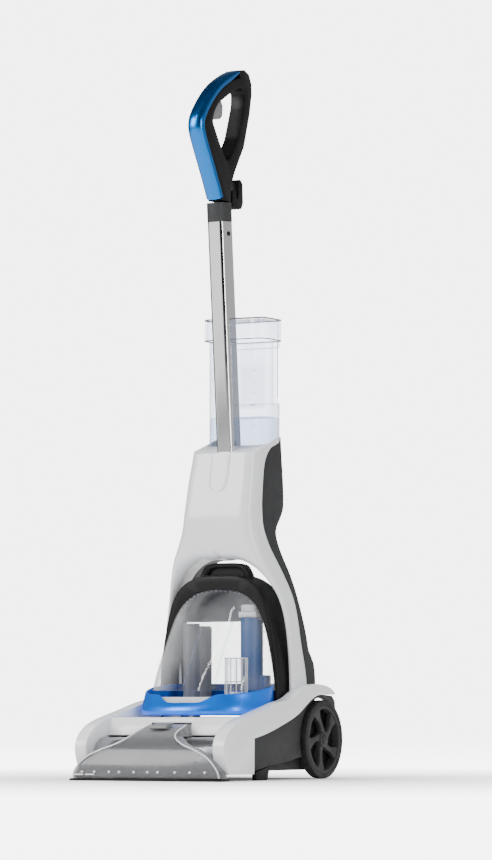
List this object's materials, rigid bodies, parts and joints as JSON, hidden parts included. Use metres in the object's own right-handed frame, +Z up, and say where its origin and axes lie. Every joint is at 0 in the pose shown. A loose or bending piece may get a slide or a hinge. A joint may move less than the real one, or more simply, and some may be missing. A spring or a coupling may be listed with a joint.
{
  "type": "carpet cleaner machine",
  "caption": "Compact upright carpet washer with a clear recovery tank, a lift-out water tank and a loop handle on a chromed stem.",
  "frame": {"origin": "on the floor under the middle of the bounding box", "axes": "+Z up, -Y towards the front (nozzle), +X to the right seen from the front"},
  "size_m": [0.273, 0.3876, 1.122],
  "materials": {
    "white_plastic": "glossy moulded",
    "dark_plastic": "fine spark texture",
    "black_plastic": "satin moulded",
    "grey_plastic": "satin moulded",
    "blue_plastic": "glossy with metallic flake",
    "blue_trim": "metallic lacquer",
    "clear_smoke": "clear moulded plastic",
    "clear_bottle": "clear blown plastic",
    "brush_plastic": "moulded with nylon tufts",
    "chrome": "polished",
    "steel": "plain",
    "tyre": "soft tread",
    "rubber": "moulded"
  },
  "bodies": {
    "floor_head": {"chassis": "dark_plastic", "base_shell": "white_plastic", "side_cover_right": "dark_plastic", "side_cover_left": "dark_plastic", "skid_right": "black_plastic", "skid_left": "black_plastic", "brush_housing": "black_plastic", "brush_bearing_left": "steel", "brush_bearing_right": "steel", "brush_motor": "steel", "drive_belt": "rubber", "suction_lip": "black_plastic", "spray_bar": "grey_plastic", "water_pump": "grey_plastic", "suction_duct": "grey_plastic", "axle_right": "steel", "axle_left": "steel", "pivot_pin_right": "steel", "pivot_pin_left": "steel", "rear_cover": "dark_plastic"},
    "nozzle": {"nozzle_cover": "clear_smoke"},
    "latch": {"nozzle_latch": "grey_plastic"},
    "brush": {"brush_roll": "brush_plastic"},
    "pulley": {"motor_pulley": "grey_plastic"},
    "right_wheel": {"wheel_right": "dark_plastic", "tyre_right": "tyre", "wheel_cap_right": "dark_plastic"},
    "left_wheel": {"wheel_left": "dark_plastic", "tyre_left": "tyre", "wheel_cap_left": "dark_plastic"},
    "pedal": {"recline_pedal": "grey_plastic"},
    "recovery_tank": {"tank_dome": "clear_smoke", "tank_base": "blue_plastic", "tank_hood": "black_plastic", "riser_duct": "grey_plastic", "tank_stack": "blue_plastic", "stack_cap": "white_plastic", "float_cage": "clear_smoke"},
    "float": {"tank_float": "white_plastic"},
    "upper_body": {"body_front": "white_plastic", "body_rear": "dark_plastic", "motor_housing": "grey_plastic", "suction_motor": "steel", "stem_tube": "chrome", "neck_collar": "dark_plastic", "handle_grip": "black_plastic", "handle_trim": "blue_trim", "trigger_pin": "steel", "hook_pin": "steel", "cord_hook_lower": "dark_plastic", "cord_gland": "rubber"},
    "fan": {"suction_fan": "steel"},
    "grip_trigger": {"trigger": "grey_plastic"},
    "pull_rod": {"trigger_rod": "grey_plastic"},
    "swivel_hook": {"cord_hook_upper": "black_plastic"},
    "power_switch": {"power_button": "grey_plastic"},
    "stem_catch": {"stem_button": "black_plastic"},
    "water_tank": {"clean_tank": "clear_bottle"},
    "water_lid": {"clean_tank_lid": "clear_bottle"},
    "valve": {"tank_valve": "grey_plastic"}
  },
  "joints": [
    {"name": "recline", "type": "hinge", "parent": "floor_head", "child": "upper_body", "pos_m": [0, 0.118, 0.1], "axis": [-1, 0, 0], "range_deg": [0, 60]},
    {"name": "right_wheel_spin", "type": "hinge", "parent": "floor_head", "child": "right_wheel", "pos_m": [0.126, 0.1325, 0.0613], "axis": [1, 0, 0], "continuous": true},
    {"name": "left_wheel_spin", "type": "hinge", "parent": "floor_head", "child": "left_wheel", "pos_m": [-0.126, 0.1325, 0.0613], "axis": [1, 0, 0], "continuous": true},
    {"name": "brush_spin", "type": "hinge", "parent": "floor_head", "child": "brush", "pos_m": [0, -0.128, 0.032], "axis": [1, 0, 0], "continuous": true},
    {"name": "pulley_spin", "type": "hinge", "parent": "floor_head", "child": "pulley", "pos_m": [-0.1055, -0.055, 0.048], "axis": [1, 0, 0], "continuous": true},
    {"name": "nozzle_pull", "type": "slide", "parent": "floor_head", "child": "nozzle", "axis": [0, -1, 0], "range_m": [0, 0.05]},
    {"name": "latch_swing", "type": "hinge", "parent": "nozzle", "child": "latch", "pos_m": [0, -0.15, 0.0795], "axis": [1, 0, 0], "range_deg": [0, 10]},
    {"name": "pedal_press", "type": "hinge", "parent": "floor_head", "child": "pedal", "pos_m": [0.07, 0.152, 0.0695], "axis": [-1, 0, 0], "range_deg": [0, 8], "stiffness_Nm_per_rad": 0.6, "springref_deg": -8.59},
    {"name": "recovery_tank_pull", "type": "slide", "parent": "floor_head", "child": "recovery_tank", "axis": [0, -1, 0], "range_m": [0, 0.12]},
    {"name": "float_rise", "type": "slide", "parent": "recovery_tank", "child": "float", "axis": [0, 0, 1], "range_m": [0, 0.03]},
    {"name": "fan_spin", "type": "hinge", "parent": "upper_body", "child": "fan", "pos_m": [0, 0.0605, 0.366], "axis": [0, 0, 1], "continuous": true},
    {"name": "trigger_squeeze", "type": "hinge", "parent": "upper_body", "child": "grip_trigger", "pos_m": [0, -0.006, 1.045], "axis": [1, 0, 0], "range_deg": [0, 8], "stiffness_Nm_per_rad": 0.5, "springref_deg": -5.73},
    {"name": "rod_travel", "type": "slide", "parent": "upper_body", "child": "pull_rod", "axis": [0, 0.0827, -0.9966], "range_m": [0, 0.004]},
    {"name": "hook_swivel", "type": "hinge", "parent": "upper_body", "child": "swivel_hook", "pos_m": [0, 0.053, 0.9135], "axis": [0, 1, 0], "range_deg": [0, 180]},
    {"name": "power_press", "type": "slide", "parent": "upper_body", "child": "power_switch", "axis": [0, -1, 0], "range_m": [0, 0.0025], "stiffness_N_per_m": 300, "springref_m": -0.002},
    {"name": "stem_catch_press", "type": "slide", "parent": "upper_body", "child": "stem_catch", "axis": [-1, 0, 0], "range_m": [0, 0.0025], "stiffness_N_per_m": 300, "springref_m": -0.002},
    {"name": "water_tank_lift", "type": "slide", "parent": "upper_body", "child": "water_tank", "axis": [0, 0, 1], "range_m": [0, 0.12]},
    {"name": "water_lid_lift", "type": "slide", "parent": "water_tank", "child": "water_lid", "axis": [0, 0, 1], "range_m": [0, 0.03]},
    {"name": "valve_lift", "type": "slide", "parent": "water_tank", "child": "valve", "axis": [0, 0, 1], "range_m": [0, 0.003], "stiffness_N_per_m": 100, "springref_m": -0.002}
  ],
  "couplings": [
    {"joint": "pulley_spin", "follows": "brush_spin", "ratio": 1},
    {"joint": "rod_travel", "follows": "trigger_squeeze", "m_per_rad": 0.028}
  ]
}
